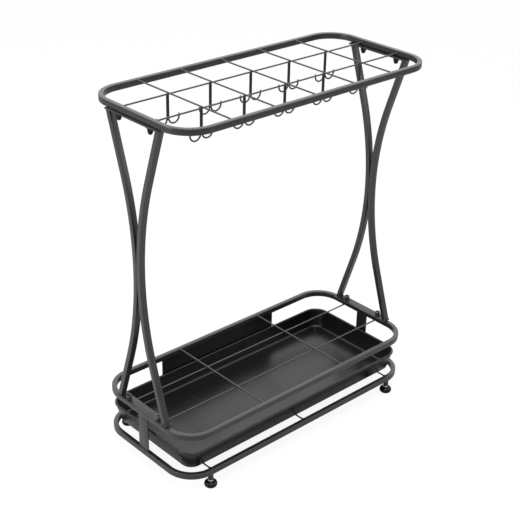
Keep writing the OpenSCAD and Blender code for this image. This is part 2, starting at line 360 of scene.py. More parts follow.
# Bent hooks: a thick film in the bends, which looks a deeper black.
HOOK_COAT = PowderCoat(
    "satin_black_powder_coat_hook", Slot.WIRES, "#0d0d0e", "#141415", gloss_index=1.42
)
# Sheared plate: a duller film that spreads the light into an even grey.
PLATE_COAT = PowderCoat(
    "satin_black_powder_coat_plate", Slot.PLATES, "#171718", roughness=0.4, gloss_index=1.4
)
# Flat panel: the film levels out, so hardly any orange peel shows.
# Its colours are painted darker than the tube coat's, as painted shade for the panel's place
# between the rings, behind the tray.
SHADED_PANEL_COAT = PowderCoat(
    "satin_black_powder_coat_panel_painted_shade",
    Slot.FRAME,
    "#0f0f10",
    "#151516",
    gloss_index=1.4,
    peel_height=0.012 * MM,
)
# Pressed tray: a smooth charcoal skin with broad, soft reflections.
TRAY_COAT = PowderCoat(
    "satin_charcoal_powder_coat_tray",
    Slot.TRAY,
    "#0a0a0b",
    "#0d0d0e",
    roughness=0.27,
    roughness_drift=0.03,
    gloss_index=1.36,
    peel_height=0.012 * MM,
    grain_height=0.004 * MM,
    drift_length=70 * MM,
)
# Black oxide: a dark skin that keeps the metal's glint and turns grey where rubbed.
SCREW_FINISH = SkinnedSteel("black_oxide_screw_steel", Slot.SCREWS, "#434344", "#5c5c5d")
NUT_FINISH = SkinnedSteel("black_oxide_nut_steel", Slot.SCREWS, "#1c1c1d", "#333334")
# Dull zinc: a dark grey, spread shine.
STUD_FINISH = SkinnedSteel(
    "dull_zinc_stud_steel", Slot.STUDS, "#343435", "#4c4c4d", roughness=0.4
)
# Bright zinc band at each collar's base: its nearly white colour stands for bare zinc and also
# for a painted glint there.
GLINT_BAND_FINISH = SkinnedSteel("bright_zinc_painted_glint_steel", Slot.STUDS, "#c4c5c7", "#dcdddf")
# Moulded ABS: small wet-looking glints on deep black.
FOOT_FINISH = GlossMoulding("polished_black_abs", Slot.FEET, "#060607")


# ---- surfaces


def span(node: str) -> tuple[Array, Array]:
    """Gives the low and high corner of a CAD node as arrays."""
    low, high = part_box(node)
    return np.array(low), np.array(high)


def four_axes(node: str, reach: float) -> Axes:
    """Reads the upright axes of four like pieces from their node's box.

    Args:
        node: the CAD node.
        reach: distance from an axis to the box.

    Returns:
        The four (x, y) axes.
    """
    _, high = span(node)
    x, y, _ = high - reach
    return [(sx * x, sy * y) for sx in (-1, 1) for sy in (-1, 1)]


def around(count: int) -> Array:
    """Gives count angles, evenly spaced round a full turn."""
    return np.arange(count) * 2 * np.pi / count


def rays(angle: Array) -> Array:
    """Gives (cos, sin) of each angle along a new last axis."""
    return np.stack([np.cos(angle), np.sin(angle)], axis=-1)


def level(points: Array) -> Array:
    """Lists points of shape (..., 2) as space points at height 0, (n, 3)."""
    return np.insert(points.reshape(-1, 2), 2, 0.0, axis=1)


def corner_arcs(steps: int) -> tuple[Array, Array]:
    """Lays out the four corners of a rounded rectangle, anticlockwise.

    Args:
        steps: chords in a corner.

    Returns:
        The corners' signs, (4, 2), and the angles of their arcs, (4, steps + 1).
    """
    quarter = np.linspace(0.0, np.pi / 2, steps + 1)
    angle = quarter + np.arange(4)[:, None] * np.pi / 2
    return np.array([[1, 1], [-1, 1], [-1, -1], [1, -1]], float), angle


def rounded_outline(width: float, height: float, radius: float, steps: int = 4) -> Array:
    """Closed outline of a rectangle with rounded corners, anticlockwise.

    Each corner is a quarter circle: corner centre + radius * (cos, sin).

    Args:
        width: full size along the first axis.
        height: full size along the second axis.
        radius: corner radius, held just under half of either size.
        steps: chords in a corner.

    Returns:
        Points of shape (4 * (steps + 1), 2).
    """
    radius = min(radius, 0.499 * width, 0.499 * height)
    signs, angle = corner_arcs(steps)
    centre = signs * (np.array([width, height]) / 2 - radius)
    return (centre[:, None, :] + rays(angle) * radius).reshape(-1, 2)


def hexagon(apothem: float, angle: Array) -> Array:
    """Gives a hexagon's radius: apothem / cos(angle from the middle of a flat)."""
    return apothem / np.cos((angle % (np.pi / 3)) - np.pi / 6)


def carry(
    outline: Array, centres: Array, right: Array, up: Array, scale: Array | float = 1.0
) -> Array:
    """Carries an outline along a path.

    Point = path centre + scale * (outline x * right + outline y * up).

    Args:
        outline: points of shape (n, 2).
        centres: path points of shape (m, 3).
        right: the outline's first axis, (m, 3) or (3,).
        up: the outline's second axis, (m, 3) or (3,).
        scale: the outline's scale, (m,) or one for all.

    Returns:
        Grid of points of shape (m, n, 3).
    """
    spread = outline[:, :1] * right[..., None, :] + outline[:, 1:] * up[..., None, :]
    return centres[:, None, :] + np.reshape(scale, (-1, 1, 1)) * spread


def carry_round_loop(section: Array, core: Array, steps: int, side_steps: int) -> Array:
    """Carries a section round a rectangle with rounded corners.

    Point = (corner centre + u * (cos a, sin a), height), where a turns a quarter
    circle at each corner and stays put on the sides.

    Args:
        section: section of shape (n, 2), as (u, height), where u is the distance
            out from a corner's centre.
        core: half distances between corner centres along X and Y.
        steps: chords in a corner.
        side_steps: lengths in a straight side.

    Returns:
        Grid of points of shape (m, n, 3) that closes round the loop.
    """
    signs, angle = corner_arcs(steps)
    start = (signs * core)[:, None, :]
    end = np.roll(start, -1, axis=0)
    t = np.arange(1, side_steps)[None, :, None] / side_steps
    corner = np.repeat(start, steps + 1, axis=1)
    centre = np.concatenate([corner, start * (1 - t) + end * t], axis=1)
    still = np.repeat(angle[:, -1:], side_steps - 1, axis=1)
    out = rays(np.concatenate([angle, still], axis=1))
    return carry(section, level(centre), level(out), UNIT_Z)


def turned(profile: Profile, count: int = 40) -> Array:
    """Surface turned about the Z axis: point = (r cos a, r sin a, h).

    Args:
        profile: radius r and height h of each row; r may be an array of count
            values, which follow the angle a.
        count: points round the axis.

    Returns:
        Grid of points of shape (m, count, 3), closed round the axis.
    """
    rows = np.array([[np.broadcast_to(value, count) for value in row] for row in profile])
    radii, heights = rows[:, 0, :, None], rows[:, 1, :, None]
    return np.concatenate([radii * rays(around(count)), heights], axis=-1)


def new_object(name: str, data: ID) -> Object:
    """Makes an object from its data and links it into the scene.

    Args:
        name: the object's name.
        data: its mesh, light or camera.

    Returns:
        The new object.
    """
    made = bpy.data.objects.new(name, data)
    bpy.context.scene.collection.objects.link(made)
    return made


@dataclass
class Shell:
    """Gathers grids of points and their faces, then makes them one object."""

    points: list[Array] = field(default_factory=list)
    faces: list[tuple[int, ...]] = field(default_factory=list)
    count: int = 0

    def grid(self, points: Array, wrap_rows: bool = False, wrap_columns: bool = True) -> Self:
        """Adds a grid as quads.

        Args:
            points: array of shape (m, n, 3).
            wrap_rows: joins the last row to the first.
            wrap_columns: joins the last column to the first.

        Returns:
            The shell itself.
        """
        m, n = points.shape[:2]
        rows = np.arange(m if wrap_rows else m - 1)
        columns = np.arange(n if wrap_columns else n - 1)
        i, j = np.meshgrid(rows, columns, indexing="ij")
        i2, j2 = (i + 1) % m, (j + 1) % n
        quads = np.stack([i * n + j, i * n + j2, i2 * n + j2, i2 * n + j], axis=-1)
        self.faces += map(tuple, (quads.reshape(-1, 4) + self.count).tolist())
        self.points.append(points.reshape(-1, 3))
        self.count += m * n
        return self

    def lid(self, loop: Array) -> Self:
        """Closes a loop of points with one flat face.

        Args:
            loop: points of shape (n, 3).

        Returns:
            The shell itself.
        """
        self.faces.append(tuple(range(self.count, self.count + len(loop))))
        self.points.append(loop)
        self.count += len(loop)
        return self

    def bar(self, points: Array, ring: bool = False) -> Self:
        """Adds a grid that is closed round its columns, and by lids or as a ring."""
        self.grid(points, wrap_rows=ring)
        return self if ring else self.lid(points[0]).lid(points[-1])

    def turnings(self, axes: Axes, profile: Profile, count: int = 40, ring: bool = False) -> Self:
        """Adds one turned surface at each of several upright axes.

        Args:
            axes: (x, y) of each axis.
            profile: radius and height of each row, as for turned.
            count: points round each axis.
            ring: joins the last row to the first, with no lids.

        Returns:
            The shell itself.
        """
        points = turned(profile, count)
        for x, y in axes:
            self.bar(points + (x, y, 0.0), ring)
        return self

    def piece(
        self,
        name: str,
        finish: Finish,
        node: str = "",
        crease: float = 38.0,
        body: Body = Body.STAND,
    ) -> Object:
        """Makes the shell one object, dresses it and puts it on its body.

        Args:
            name: the object's name.
            finish: the surface finish, with its material slot.
            node: the CAD node it replaces, if there is one.
            crease: edges sharper than this many degrees stay crisp.
            body: the rigid body it rides on.

        Returns:
            The new object.
        """
        mesh = bpy.data.meshes.new(name)
        mesh.from_pydata(np.concatenate(self.points), [], self.faces)
        edit = bmesh.new()
        edit.from_mesh(mesh)
        bmesh.ops.remove_doubles(edit, verts=edit.verts, dist=MERGE_REACH)
        bmesh.ops.recalc_face_normals(edit, faces=edit.faces)
        edit.to_mesh(mesh)
        edit.free()
        mesh.shade_smooth()
        mesh.set_sharp_from_angle(angle=math.radians(crease))
        mesh.materials.append(finish.material())
        made = new_object(name, mesh)
        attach(made, body.value)
        if node:
            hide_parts(node)
        return made


# ---- sub-assemblies


class SubAssembly(ABC):
    """One or more pieces of the stand that are made together."""

    @abstractmethod
    def build(self) -> list[Object]:
        """Makes the pieces and gives them back."""


@dataclass
class TubeRing(SubAssembly):
    """A ring of rectangular tube, bent at four corners and welded shut."""

    node: str
    corner_radius: float = 47.5 * MM
    tube_width: float = 7.5 * MM
    edge: float = 1.1 * MM

    def build(self) -> list[Object]:
        """Carries the tube's softened outline round the ring.

        Returns:
            The ring.
        """
        low, high = span(self.node)
        section = rounded_outline(self.tube_width, high[2] - low[2], self.edge)
        section += (self.corner_radius - self.tube_width / 2, (low[2] + high[2]) / 2)
        core = high[:2] - self.corner_radius
        shell = Shell().bar(carry_round_loop(section, core, steps=28, side_steps=6), ring=True)
        return [shell.piece(f"{self.node}_tube", COAT, self.node)]


@dataclass
class WireGrid(SubAssembly):
    """Straight wires that lie side by side in a ring, welded to its rails."""

    node: str
    along: Axis
    places: tuple[float, ...]
    seed: int
    radius: float = 1.25 * MM
    collar_reach: float = 2.6 * MM
    collar_flare: float = 1.1 * MM
    wide_ripple: float = 0.10
    fine_ripple: float = 0.06
    points_round: int = 16

    def weld_collar(self, foot: Array, axis: Array, rng: np.random.Generator) -> Array:
        """Works out the fillet of weld metal round a wire where it meets a rail.

        Radius = 0.99 wire + flare * (1 - t)^2.2 * ripple along the reach. The
        ripple has two waves and five waves to a turn, which start at random
        angles, so no two collars are alike.

        Args:
            foot: the point where the wire's centre line meets the rail.
            axis: unit vector from the rail along the wire.
            rng: seeded source of the angles; each collar draws three.

        Returns:
            Grid of points, closed round its columns.
        """
        t = np.linspace(0.0, 1.0, 7)
        angle = around(self.points_round)
        wide, fine, _ = rng.uniform(0, 2 * np.pi, 3)
        ripple = 1 + self.wide_ripple * np.sin(2 * angle + wide)
        ripple += self.fine_ripple * np.sin(5 * angle + fine)
        grow = self.collar_flare * (1 - t) ** 2.2
        radius = self.radius * 0.99 + grow[:, None] * ripple
        centre = foot + (t * self.collar_reach)[:, None] * axis
        ring = rays(angle) @ np.stack([np.cross(UNIT_Z, axis), UNIT_Z])
        return centre[:, None, :] + radius[..., None] * ring

    def build(self) -> list[Object]:
        """Lays each wire, a carried circle, and rings its ends with weld metal.

        Returns:
            The wires of the ring, as one piece.
        """
        low, high = span(self.node)
        rng = np.random.default_rng(self.seed)
        circle = rays(around(self.points_round)) * self.radius
        axis = np.eye(3)[self.along]
        shell = Shell()
        for place in self.places:
            start = (low + high) / 2
            start[1 - self.along] = place
            end = start.copy()
            start[self.along], end[self.along] = low[self.along], high[self.along]
            shell.bar(carry(circle, np.stack([start, end]), np.cross(UNIT_Z, axis), UNIT_Z))
            shell.bar(self.weld_collar(start, axis, rng))
            shell.bar(self.weld_collar(end, -axis, rng))
        return [shell.piece(f"{self.node}_drawn", WIRE_COAT, self.node)]


@dataclass
class DoubleHook(SubAssembly):
    """Two J-shaped wires set back to back and welded under a grid crossing."""

    node: str
    bend_radius: float = 9.4 * MM
    tip_length: float = 2.5 * MM
    radius: float = 1.25 * MM
    bead_radius: float = 2.7 * MM
    bead_rise: float = 1.3 * MM
    bead_sink: float = 0.1 * MM
    bead_squash: float = 0.62

    def centre_line(self) -> tuple[Array, ...]:
        """Works out one J's path in its own X and Z.

        Half circle: centre + R * (-cos a, -sin a). The straight stem stands over
        its start and the tip over its end. A half-round end closes the tip: the
        scale falls as sqrt(1 - s^2) while the height grows by s radii.

        Returns:
            Path points (m, 2), path directions (m, 2) and scales (m,).
        """
        low, high = span(self.node)
        r, big = self.radius, self.bend_radius
        middle = low[2] + r + big
        stem = high[2] - middle
        s = np.sin(np.linspace(0.0, np.pi / 2, 7))
        tip = slice(-s.size, None)
        a = np.concatenate([np.zeros(2), np.linspace(0.0, np.pi, 29), np.full(s.size, np.pi)])
        rise, scale = np.zeros_like(a), np.ones_like(a)
        rise[:2] = stem, stem / 2
        rise[tip] = self.tip_length + r * s
        scale[tip] = np.maximum(np.sqrt(1 - s**2), BLUNT)
        path = np.stack([r + big * (1 - np.cos(a)), middle - big * np.sin(a) + rise], axis=-1)
        return path, np.stack([np.sin(a), -np.cos(a)], axis=-1), scale

    def build(self) -> list[Object]:
        """Carries the wire along both paths and adds the weld at the crossing.

        The weld is a squat lens, (R cos b, h sin b) turned and then squashed
        across the long wire.

        Returns:
            The hook.
        """
        low, high = span(self.node)
        x, y, _ = (low + high) / 2
        path, way, scale = self.centre_line()
        circle = rays(around(14)) * self.radius
        shell = Shell()
        for sign in (-1.0, 1.0):
            centres, ahead = (np.insert(v * (sign, 1.0), 1, 0.0, axis=1) for v in (path, way))
            centres += (x, y, 0.0)
            shell.bar(carry(circle, centres, np.cross(ahead, UNIT_Y), UNIT_Y, scale))
        b = np.linspace(-np.pi / 2, np.pi / 2, 9)
        radii = self.bead_radius * np.maximum(np.cos(b), BLUNT)
        bead = turned(zip(radii, high[2] - self.bead_sink + self.bead_rise * np.sin(b)))
        shell.bar(bead * (1.0, self.bead_squash, 1.0) + (x, y, 0.0))
        return [shell.piece(f"{self.node}_wires", HOOK_COAT, self.node)]


@dataclass
class BowedLeg(SubAssembly):
    """A leg of rectangular tube, bowed in the middle and straight at both ends."""

    side: Side
    row: Row
    depth: float = 8 * MM
    wall: float = 1.0 * MM
    edge: float = 0.8 * MM
    inner_edge: float = 0.24 * MM
    bend_radius: float = 480 * MM

    @property
    def node(self) -> str:
        """Gives the leg's CAD node."""
        return f"leg_{self.side}_{self.row}"

    def half_angle(self) -> float:
        """Finds the angle at which the bow runs out into its straight ends.

        With half height H, bend radius R, angle t and centre-line sweep
        s = box sweep - depth / 2 - depth / (2 cos t), the ends meet the plates
        where H sin t + (R - s) cos t = R. Turning that round gives
        t = atan2(H, R - s) - acos(R / hypot(H, R - s)), taken a few times over.

        Returns:
            The angle in radians.
        """
        low, high = span(self.node)
        _, sweep, height = high - low
        angle = 0.3
        for _ in range(12):
            rest = self.bend_radius - sweep + self.depth / 2 * (1 + 1 / math.cos(angle))
            angle = math.atan2(height / 2, rest)
            angle -= math.acos(self.bend_radius / math.hypot(height / 2, rest))
        return angle

    def walls(self, outline: Array) -> Array:
        """Carries an outline along the leg and cuts it level with the plates.

        Bow: centre + R * (0, cos a, sin a). Past the bow's ends each outline
        point slides along the leg, by (plate height - z) / (rise per length).

        Args:
            outline: points of shape (n, 2), as (across, out from the bow).

        Returns:
            Grid of points, closed round its columns.
        """
        low, high = span(self.node)
        angle = self.half_angle()
        sign, near = (1.0, high[1]) if self.row is Row.FRONT else (-1.0, low[1])
        centre = (low + high) / 2
        centre[Axis.Y] = near - sign * (self.bend_radius + self.depth / 2)
        out = np.insert(rays(np.linspace(-angle, angle, 45)) * (sign, 1.0), 0, 0.0, axis=1)
        bow = carry(outline, centre + self.bend_radius * out, UNIT_X, out)
        ends = []
        for turn, loop, cut in ((-angle, bow[0], low[2]), (angle, bow[-1], high[2])):
            way = np.array([0.0, -sign * math.sin(turn), math.cos(turn)])
            ends.append(loop + ((cut - loop[:, 2]) / way[2])[:, None] * way)
        return np.concatenate([ends[0][None], bow, ends[1][None]])

    def build(self) -> list[Object]:
        """Joins the tube's outside and inside at both ends.

        Returns:
            The leg.
        """
        low, high = span(self.node)
        width, bore = high[0] - low[0], 2 * self.wall
        outer = self.walls(rounded_outline(width, self.depth, self.edge))
        inner = self.walls(rounded_outline(width - bore, self.depth - bore, self.inner_edge))
        shell = Shell().grid(outer).grid(inner)
        for end in (0, -1):
            shell.grid(np.stack([outer[end], inner[end]]))
        return [shell.piece(f"{self.node}_tube", LEG_COAT, self.node)]


@dataclass
class FlatBar(SubAssembly):
    """A flat steel bar or plate with softened edges."""

    node: str
    finish: Finish = PLATE_COAT
    edge: float = 0.5 * MM

    def build(self) -> list[Object]:
        """Fills the node's box with a bar that is carried along its longest side.

        Near each end the outline shrinks by edge * (1 - sin t) as the end is
        reached by edge * (1 - cos t), so the end edges are rounded too. The
        corners keep a radius of at least edge / 20.

        Returns:
            The bar.
        """
        low, high = span(self.node)
        size = high - low
        along = int(np.argmax(size))
        a, b = (along + 1) % 3, (along + 2) % 3
        turn = np.linspace(0.0, np.pi / 2, 4)
        inset, step = self.edge * (1 - np.sin(turn)), self.edge * (1 - np.cos(turn))
        stations = np.concatenate([low[along] + step, (high[along] - step)[::-1]])
        rows = []
        for station, shrink in zip(stations, np.concatenate([inset, inset[::-1]])):
            radius = max(self.edge - shrink, self.edge / 20)
            ring = rounded_outline(size[a] - 2 * shrink, size[b] - 2 * shrink, radius, 3)
            row = np.tile((low + high) / 2, (len(ring), 1))
            row[:, along] = station
            row[:, [a, b]] += ring
            rows.append(row)
        return [Shell().bar(np.stack(rows)).piece(f"{self.node}_bar", self.finish, self.node)]


@dataclass
class WasherSet(SubAssembly):
    """Four pressed flat washers."""

    node: str
    axes: Axes
    finish: Finish
    bore: float = 2.65 * MM
    edge: float = 0.25 * MM

    def build(self) -> list[Object]:
        """Turns each washer from a small soft-cornered section.

        Returns:
            The four washers, as one piece.
        """
        low, high = span(self.node)
        outer = high[0] - max(x for x, _ in self.axes)
        section = rounded_outline(outer - self.bore, high[2] - low[2], self.edge, 2)
        section += ((outer + self.bore) / 2, (low[2] + high[2]) / 2)
        shell = Shell().turnings(self.axes, section, ring=True)
        return [shell.piece(f"{self.node}_pressed", self.finish, self.node)]


@dataclass
class SocketScrews(SubAssembly):
    """Four socket screws on the bottom plates, each on a split and a flat washer."""

    head_radius: float = 4.4 * MM
    head_height: float = 4.6 * MM
    shank_radius: float = 2.5 * MM
    shank_length: float = 12 * MM
    socket_apothem: float = 2.0 * MM
    knurl: float = 0.12 * MM
    knurl_count: int = 36
    points_round: int = 144
    split_angle: float = 0.22
    split_lift: float = 0.16
    spring_inset: float = 0.15 * MM
    spring_gap: float = 0.1 * MM
    spring_edge: float = 0.18 * MM

    def screw(self) -> Profile:
        """Lists a screw's rows, knurled round the head and with a hexagon socket.

        Head radius = R - knurl * (1 - |cos(count * a / 2)|). The socket's wall is
        a hexagon, and the shank's end and the socket's bottom are blunt points.

        Returns:
            The rows from the shank's end to the socket's bottom.
        """
        a = around(self.points_round)
        socket = hexagon(self.socket_apothem, a)
        r, h = self.head_radius, self.head_height
        ridge = r - self.knurl * (1 - np.abs(np.cos(self.knurl_count * a / 2)))
        shank, tip = self.shank_radius, -self.shank_length
        under = span("bottom_screws")[1][2] - h
        rows = [
            (0.3 * MM, tip),
            (0.8 * shank, tip),
            (shank, tip + 0.6 * MM),
            (shank, 0.0),
            (0.93 * r, 0.0),
            (ridge, 0.3 * MM),
            (ridge, h - 0.9 * MM),
            (0.955 * r, h - 0.6 * MM),
            (0.90 * r, h - 0.18 * MM),
            (0.82 * r, h),
            (1.12 * socket, h),
            (socket, h - 0.22 * MM),
            (socket, 0.48 * h),
            (0.3 * socket, 0.4 * h),
            (0.02 * MM, 0.38 * h),
        ]
        return [(radius, under + height) for radius, height in rows]

    def spring_washers(self, axes: Axes) -> Object:
        """Winds each split washer: a square bar carried almost once round.

        Centre = (r cos a, r sin a, middle + lift * (a / turn - 1/2)), so the two
        cut ends stand slightly apart in height.

        Args:
            axes: the screws' axes.

        Returns:
            The four washers, as one piece.
        """
        low, high = span("bottom_spring_washers")
        tall = high[2] - low[2]
        outer, inner = self.head_radius - self.spring_inset, self.shank_radius + self.spring_gap
        bar = rounded_outline(outer - inner, (1 - self.split_lift) * tall, self.spring_edge, 2)
        a = np.linspace(self.split_angle / 2, 2 * np.pi - self.split_angle / 2, 49)
        way = level(rays(a))
        lift = (self.split_lift * tall * (a / (2 * np.pi) - 0.5))[:, None] * UNIT_Z
        shell = Shell()
        for x, y in axes:
            centre = np.array([x, y, (low[2] + high[2]) / 2])
            shell.bar(carry(bar, centre + (outer + inner) / 2 * way + lift, way, UNIT_Z))
        return shell.piece("bottom_spring_washers_wound", SCREW_FINISH, "bottom_spring_washers")

    def build(self) -> list[Object]:
        """Makes the screws, the flat washers and the spring washers.

        Returns:
            The three sets, one piece each.
        """
        axes = four_axes("bottom_screws", self.head_radius)
        screws = Shell().turnings(axes, self.screw(), self.points_round)
        return [
            screws.piece("bottom_screws_turned", SCREW_FINISH, "bottom_screws", crease=30.0),
            *WasherSet("bottom_flat_washers", axes, SCREW_FINISH).build(),
            self.spring_washers(axes),
        ]


@dataclass
class DomedNuts(SubAssembly):
    """Four domed nuts on studs under the top ring, each on a flat washer."""

    apothem: float = 4 * MM
    corner_share: float = 1.06
    chamfer: float = 0.35 * MM
    dome_radius: float = 3.68 * MM
    dome_turn: float = 1.52
    bore: float = 2.6 * MM
    bore_depth: float = 8.1 * MM
    stud_radius: float = 2.5 * MM
    pitch: float = 0.8 * MM
    thread_depth: float = 0.42 * MM
    points_round: int = 72

    def nut(self) -> Profile:
        """Lists a nut's rows, hexagonal at its seat and domed at its end.

        Where the corners are turned off, the hexagon is held to corner_share of
        the apothem. The dome hangs down: (R cos b, height - R + R sin b) below the
        seat.

        Returns:
            The rows from the bore's end to the dome's tip.
        """
        low, high = span("top_nuts")
        height = high[2] - low[2]
        flats = hexagon(self.apothem, around(self.points_round))
        cut = np.minimum(flats, self.corner_share * self.apothem)
        b = np.linspace(0.0, self.dome_turn, 12)
        dome = zip(self.dome_radius * np.cos(b), height - self.dome_radius * (1 - np.sin(b)))
        rows = [
            (self.bore, self.bore_depth),
            (self.bore, 0.0),
            (cut, 0.0),
            (flats, self.chamfer),
            (flats, height / 2 - self.chamfer),
            (cut, height / 2),
            (self.dome_radius, height / 2 + 0.1 * MM),
            *dome,
        ]
        return [(radius, high[2] - drop) for radius, drop in rows]

    def build(self) -> list[Object]:
        """Makes the nuts, the threaded studs and the flat washers.

        Stud radius = r - depth * (1 - |2 frac(z / pitch - angle / turn) - 1|).

        Returns:
            The three sets, one piece each.
        """
        low, high = span("top_studs")
        axes = four_axes("top_studs", self.stud_radius)
        z = np.arange(low[2], high[2], self.pitch / 8)
        turns = np.arange(32) / 32
        tooth = np.abs(2 * ((z[:, None] / self.pitch - turns[None, :]) % 1.0) - 1)
        thread = zip(self.stud_radius - self.thread_depth * (1 - tooth), z)
        nuts = Shell().turnings(axes, self.nut(), self.points_round)
        studs = Shell().turnings(axes, thread, len(turns))
        return [
            nuts.piece("top_nuts_turned", NUT_FINISH, "top_nuts", crease=25.0),
            studs.piece("top_studs_threaded", NUT_FINISH, "top_studs", crease=60.0),
            *WasherSet("top_flat_washers", axes, NUT_FINISH).build(),
        ]


@dataclass
class LegWelds(SubAssembly):
    """Weld beads along the inner edge of each leg end, against its plate."""

    bead_radius: float = 0.6 * MM
    leg_reach: float = 8.5 * MM
    leg_share: float = 0.85
    ripple: float = 0.12
    ripple_rate: float = 26.0
    widest_start: float = 6.28
    seed: int = 11

    def build(self) -> list[Object]:
        """Lays one rippled bead at each of the eight leg ends.

        Radius = bead * (1 + ripple * sin(rate * s + start)) along the bead, from
        s = -1 to 1, pinched in at both ends by (1 - s^2)^(1/4). The ripple starts
        at a random angle, up to nearly a full turn.

        Returns:
            The beads, as one piece.
        """
        rng = np.random.default_rng(self.seed)
        circle = rays(around(12)) * self.bead_radius
        s = np.linspace(-1.0, 1.0, 41)
        pinch = np.clip(1 - s**2, 0.01, 1) ** 0.25
        shell = Shell()
        for side in Side:
            floor, ceiling = (span(f"{end}_plate_{side}") for end in ("bottom", "top"))
            for row in Row:
                low, high = span(BowedLeg(side, row).node)
                inner = high[1] - self.leg_reach if row is Row.BACK else low[1] + self.leg_reach
                half = (high[0] - low[0]) / 2 * self.leg_share
                for z in (floor[1][2], ceiling[0][2]):
                    wave = np.sin(self.ripple_rate * s + rng.uniform(0, self.widest_start))
                    scale = (1 + self.ripple * wave) * pinch
                    middle = np.array([(low[0] + high[0]) / 2, inner, z])
                    path = middle + (half * s)[:, None] * UNIT_X
                    shell.bar(carry(circle, path, UNIT_Y, UNIT_Z, scale))
        return [shell.piece("leg_end_welds", PLATE_COAT)]


@dataclass
class DripTray(SubAssembly):
    """Pressed sheet-steel tray with leaning walls and a rolled rim."""

    node: str = "drip_tray"
    corner_radius: float = 28 * MM
    floor_radius: float = 5 * MM
    sheet: float = 1.2 * MM
    lean: float = 7 * MM
    rim: float = 4 * MM
    roll_start: float = -1.35
    roll_end: float = math.pi + 0.05

    def section(self) -> Array:
        """Works out the sheet's section from the floor to the rim and back.

        Floor edge, then an arc that turns the sheet up (centre + r (sin a, -cos a)),
        a straight leaning wall, and nearly a full circle for the rim; the inside
        comes back parallel to the outside.

        Returns:
            Section of shape (n, 2), as (distance from corner centre, height).
        """
        low, high = span(self.node)
        depth = high[2] - low[2]
        tilt = math.atan(self.lean / depth)
        brow_u = self.corner_radius - self.rim + self.sheet
        rise = depth - self.rim / 2 - self.floor_radius
        knee_u = brow_u - self.floor_radius / math.cos(tilt) - rise * math.tan(tilt)
        knee = np.array([knee_u, self.floor_radius])
        a = np.linspace(0.0, np.pi / 2 - tilt, 9)
        way = np.stack([np.sin(a), -np.cos(a)], axis=-1)
        under = knee + self.floor_radius * way
        inside = (knee + (self.floor_radius - self.sheet) * way)[::-1]
        rim_centre = np.array([self.corner_radius, depth]) - self.rim / 2
        roll = rays(np.linspace(self.roll_start, self.roll_end, 19))
        out = np.concatenate([under, rim_centre + self.rim / 2 * roll, inside])
        return out + (0.0, low[2])

    def build(self) -> list[Object]:
        """Carries the section round the tray and closes the floor on both faces.

        Returns:
            The tray.
        """
        low, high = span(self.node)
        core = (high - low)[:2] / 2 - self.corner_radius
        loop = carry_round_loop(self.section(), core, steps=24, side_steps=8)
        grid = loop + (low + high) / 2 * UNIT_Y
        shell = Shell().grid(grid, wrap_rows=True, wrap_columns=False)
        shell.lid(grid[:, 0]).lid(grid[:, -1])
        return [shell.piece("drip_tray_pressed", TRAY_COAT, self.node, body=Body.TRAY)]


@dataclass
class RoundFeet(SubAssembly):
    """Four moulded round feet on collared steel studs."""

    radius: float = 10.2 * MM
    stud_radius: float = 2.5 * MM
    collar_radius: float = 4.25 * MM
    chamfer: float = 0.5 * MM
    dish: float = 0.5 * MM
    band_height: float = 2.7 * MM
    band_width: float = 1.2 * MM
    band_edge: float = 0.3 * MM
    band_reach: float = 0.5 * MM
    band_lift: float = 0.02 * MM

    def foot(self, tall: float) -> Profile:
        """Lists a foot's rows, radius and height, from the floor up to its bore.

        Side: (R - e + e cos a, e + e sin a) from the floor to the top, where e is
        half the height. A shallow dish lies underneath, and the stud's blind bore
        goes down from the top.

        Args:
            tall: the foot's height.

        Returns:
            The rows.
        """
        edge, bore = tall / 2, self.stud_radius
        lip = self.radius - edge
        side = edge * rays(np.linspace(-np.pi / 2, np.pi / 2, 33)) + (lip, edge)
        dish = [(0.2 * MM, self.dish), (0.5 * lip, self.dish), (0.8 * lip, 0.12 * MM)]
        return [*dish, *side, (1.2 * bore, tall), (bore, tall), (bore, edge)]

    def build(self) -> list[Object]:
        """Turns the feet, the studs and a bright zinc band, a painted glint, at each collar's
        base.

        A stud is a shank, a collar and the shank again, all chamfered; the shank is
        2 % slimmer than its bore.

        Returns:
            The three sets, one piece each.
        """
        tall, top = span("foot_balls")[1][2], span("base_ring")[0][2]
        low, high = (corner[2] for corner in span("foot_studs"))
        r, c, soft = 0.98 * self.stud_radius, self.collar_radius, self.chamfer
        stud = [(0.8 * r, low), (r, low + soft), (r, tall), (c - soft, tall), (c, tall + soft)]
        stud += [(c, top - soft), (c - soft, top), (r, top), (r, high - soft), (0.8 * r, high)]
        band = rounded_outline(self.band_width, self.band_height, self.band_edge, 2)
        band += (c - self.band_reach, tall + self.band_height / 2 + self.band_lift)
        axes = four_axes("foot_balls", self.radius)
        feet = Shell().turnings(axes, self.foot(tall))
        studs = Shell().turnings(axes, stud)
        bands = Shell().turnings(axes, band, ring=True)
        return [
            feet.piece("foot_balls_moulded", FOOT_FINISH, "foot_balls"),
            studs.piece("foot_studs_turned", STUD_FINISH, "foot_studs"),
            bands.piece("foot_bands_zinc_painted_glint", GLINT_BAND_FINISH),
        ]


